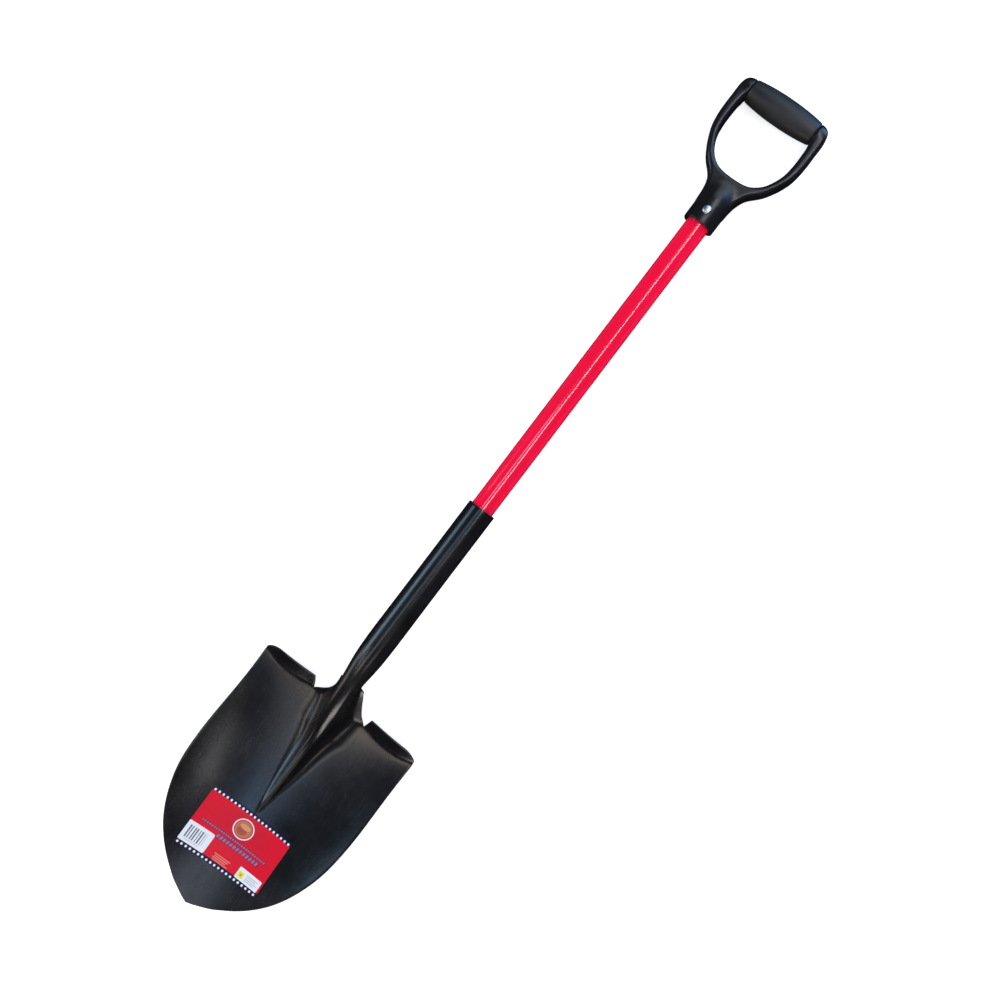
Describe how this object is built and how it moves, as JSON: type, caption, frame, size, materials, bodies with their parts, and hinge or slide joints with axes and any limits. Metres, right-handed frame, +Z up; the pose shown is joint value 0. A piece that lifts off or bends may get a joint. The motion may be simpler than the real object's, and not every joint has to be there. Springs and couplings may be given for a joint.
{
  "type": "round point shovel",
  "caption": "Digging shovel with a pointed dished steel blade, turned steps and rolled socket, a fibreglass shaft and a moulded D-grip with a soft barrel.",
  "frame": {"origin": "on the ground under the middle of the bounding box, with the shovel lying on its back, dished face up", "axes": "+Y along the shaft from the blade's point to the D-grip, +X to the blade's right as its dished face is seen, +Z up out of the dished face"},
  "size_m": [0.2276, 1.1702, 0.0685],
  "materials": {
    "blade_paint": "black powder coat, semi-gloss",
    "fibreglass": "red pultruded fibreglass, glossy",
    "core_plug": "plain turned hardwood",
    "grip_moulding": "black polypropylene, moulded, semi-gloss",
    "soft_barrel": "black soft overmould, matt",
    "zinc_plate": "bright zinc plate",
    "painted_rivet": "black powder coat, semi-gloss",
    "label_film": "printed vinyl film, red with dark blue bands"
  },
  "bodies": {
    "root": {"blade_and_socket": "blade_paint", "handle_shaft": "fibreglass", "lower_core_plug": "core_plug", "upper_core_plug": "core_plug", "d_grip_frame": "grip_moulding", "grip_barrel": "soft_barrel", "grip_rivet": "zinc_plate", "grip_rivet_washer": "zinc_plate", "socket_rivet": "painted_rivet", "blade_label": "label_film"}
  },
  "joints": []
}
